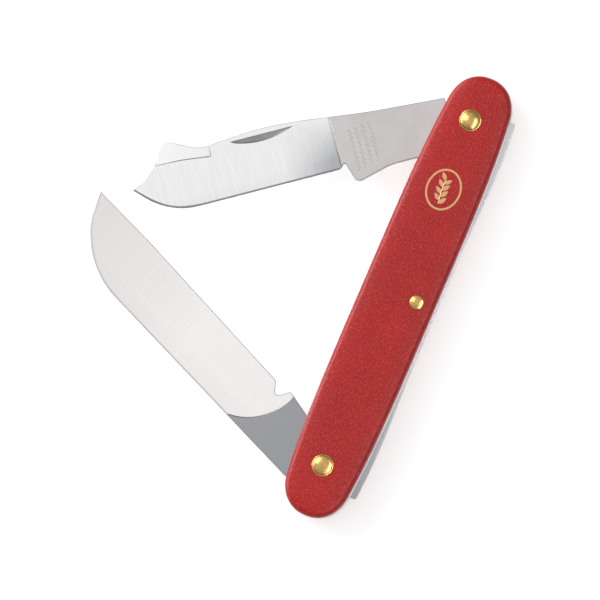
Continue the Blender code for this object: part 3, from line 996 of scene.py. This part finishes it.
FOIL_Z = TOP + 0.02
MARK = (24.4, 0.1)
stem_line = []
for k in range(13):
    t = k / 12
    stem_line.append(
        (MARK[0] - 3.1 + 5.0 * t, MARK[1] + 0.35 * math.sin(2.6 * t - 0.4), FOIL_Z)
    )
leaf = leaf_shape("foil_leaf_source", 2.1, 0.95, 0.08)
sizes = {
    "Leaf count": 8,
    "Leaf angle": math.radians(44),
    "Size variation": 0.15,
    "Stem radius": 0.11 * MM,
    "Seed": 4,
}
foil_sprig = sprig("foil_sprig", stem_line, leaf, sizes, GOLD_FOIL)
bpy.data.objects.remove(leaf)
settle(foil_sprig, "handle", "rivet_brass")


# %% The oval around it
def oval_ring(name, centre, reach, line, low, high, steps=96):
    """A flat oval band, line wide, from low to high."""
    work = bmesh.new()
    loops = []
    for grow, z in ((0, low), (0, high), (-line, high), (-line, low)):
        loop = []
        for k in range(steps):
            a = 2 * math.pi * k / steps
            x = centre[0] + (reach[0] + grow) * math.cos(a)
            y = centre[1] + (reach[1] + grow) * math.sin(a)
            loop.append(work.verts.new((x * MM, y * MM, z * MM)))
        loops.append(loop)
    for one, two in zip(loops, loops[1:] + loops[:1]):
        for k in range(steps):
            after = (k + 1) % steps
            work.faces.new((one[k], one[after], two[after], two[k]))
    bmesh.ops.recalc_face_normals(work, faces=work.faces)
    return as_object(work, name, [GOLD_FOIL])


foil_oval = oval_ring("foil_oval", MARK, (4.5, 3.75), 0.42, TOP - 0.15, FOIL_Z)
settle(foil_oval, "handle", "rivet_brass")

# %% [markdown]
# ## Etching on the ricasso
# The budding blade's ricasso carries a fine etched mark. Four rows of the same sprig,
# much smaller, fill that place with an ornament that says nothing.

# %% Four etched rows
ETCH = Finish("etched_steel", METAL)
bite = ETCH.noise(ETCH.place(), 8.0, 3.0)
ETCH.feed("Base Color", ETCH.blend(bite, (0.32, 0.315, 0.31), (0.42, 0.41, 0.405)))
ETCH.feed("Roughness", 0.5 + 0.1 * bite)
ricasso_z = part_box("budding_blade")[1].z / MM
turn_to_blade = Matrix.Rotation(math.radians(BUDDING_ANGLE), 2)
leaf = leaf_shape("etched_leaf_source", 0.62, 0.3, 0.05, steps=5)
rows = []
for row, along in enumerate((20.9, 22.4, 23.9, 25.3)):
    reach = (-5.9 + 0.2 * row, 2.3 + 0.35 * row)
    line = []
    for k in range(5):
        at = turn_to_blade @ Vector((along, reach[0] + (reach[1] - reach[0]) * k / 4))
        line.append((HEAD[0] + at.x, HEAD[1] + at.y, ricasso_z + 0.008))
    sizes = {
        "Leaf count": 17,
        "Leaf angle": math.radians(52),
        "Size variation": 0.2,
        "Stem radius": 0.05 * MM,
        "Seed": 10 + row,
    }
    rows.append(sprig(f"etched_row_{row + 1}", line, leaf, sizes, ETCH.material))
bpy.data.objects.remove(leaf)
for row in rows:
    settle(row, "budding_blade_body", "blade_steel")

# %% [markdown]
# ## Floor, light and camera
# The knife lies on a pale floor, as in a light tent: under a soft key light, two long
# strips that pick out the handle's edges, and a surround that is brightest overhead.
# The camera looks almost straight down through a long lens, leaning a few degrees to
# the springs' side.

# %% Floor
bpy.context.scene.view_settings.view_transform = "Standard"
floor_z = cad_bounds[0][2] - 0.1 * MM
work = bmesh.new()
bmesh.ops.create_grid(work, x_segments=2, y_segments=2, size=2.0)
bmesh.ops.translate(work, verts=work.verts, vec=(0, 0, floor_z))
paper = Finish("paper_floor", {"Roughness": 0.9})
fibre = paper.noise(paper.place(), 0.05, 3.0)
paper.feed("Base Color", paper.blend(fibre, (0.78, 0.78, 0.78), (0.80, 0.80, 0.80)))
floor = as_object(work, "floor", [paper.material])
floor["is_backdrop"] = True
print("the floor is at", round(floor_z / MM, 2), "mm")

# %% Camera
RIGHT = Vector((0.3966, -0.918, 0)).normalized()
UP = Vector((0.918, 0.3966, 0)).normalized()
target = Vector((-8.85, 18.68, TOP)) * MM
LEAN_X = math.sin(math.radians(1.5))
LEAN_Y = math.sin(math.radians(4.5))
lean = Vector((-LEAN_X, -LEAN_Y, 1)).normalized()
camera_data = bpy.data.cameras.new("camera")
camera = bpy.data.objects.new("camera", camera_data)
bpy.context.scene.collection.objects.link(camera)
DISTANCE = 0.9
FRAME_WIDTH = 0.1263
SENSOR_WIDTH = 36
camera_data.sensor_width = SENSOR_WIDTH
camera_data.lens = SENSOR_WIDTH * DISTANCE / FRAME_WIDTH
camera_data.clip_start = 0.01
side = UP.cross(lean).normalized()
upward = lean.cross(side).normalized()
turn = Matrix((side, upward, lean)).transposed()
camera.matrix_world = Matrix.Translation(target + lean * DISTANCE) @ turn.to_4x4()
bpy.context.scene.camera = camera
print("the lens is", round(camera_data.lens), "mm long")


# %% Light
def soft_light(name, direction, distance, size, power):
    """A soft light, long along the knife, that faces the knife from a direction."""
    data = bpy.data.lights.new(name, "AREA")
    data.shape = "RECTANGLE"
    data.size, data.size_y = size
    data.energy = power
    lamp = bpy.data.objects.new(name, data)
    away = Vector(direction).normalized()
    long = (Vector((1, 0, 0)) - away * away.x).normalized()
    turn = Matrix((long, away.cross(long), away)).transposed().to_4x4()
    lamp.matrix_world = Matrix.Translation(target + away * distance) @ turn
    bpy.context.scene.collection.objects.link(lamp)
    return lamp


KEY_DIRECTION = UP * 0.9 - RIGHT * 1.0 + Vector((0, 0, 1.8))
soft_light("key", KEY_DIRECTION, 0.8, (0.36, 0.36), 1.4)
edge_light = soft_light("edge_strip", (0.1, 1.0, 0.42), 0.7, (0.9, 0.16), 7.0)
back_light = soft_light("back_strip", (-0.05, -0.62, 1.0), 0.8, (0.9, 0.12), 3.0)
for strip in (edge_light, back_light):
    strip.data.use_shadow = False
world = bpy.data.worlds.new("surround")
world.use_nodes = True
sky = world.node_tree
towards = sky.nodes.new("ShaderNodeTexCoord")
height = sky.nodes.new("ShaderNodeVectorMath")
height.operation = "DOT_PRODUCT"
brightest = UP * 0.25 - RIGHT * 0.25 + Vector((0, 0, 1))
height.inputs[1].default_value = brightest.normalized()
sky.links.new(towards.outputs["Generated"], height.inputs[0])
glow = sky.nodes.new("ShaderNodeMapRange")
sky.links.new(height.outputs["Value"], glow.inputs["Value"])
GLOW = {"From Min": 0.6, "From Max": 0.95, "To Min": 0.34, "To Max": 0.88}
for socket, value in GLOW.items():
    glow.inputs[socket].default_value = value
sky.links.new(glow.outputs[0], sky.nodes["Background"].inputs["Strength"])
sky.nodes["Background"].inputs["Color"].default_value = (1, 1, 1, 1)
bpy.context.scene.world = world
print("the scene has", len(bpy.data.lights), "lamps and a bright sky")

# %% Finish
sizes = {"cad": [list(c) for c in cad_bounds], "visual": [list(c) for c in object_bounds()]}
print("sizes", sizes)
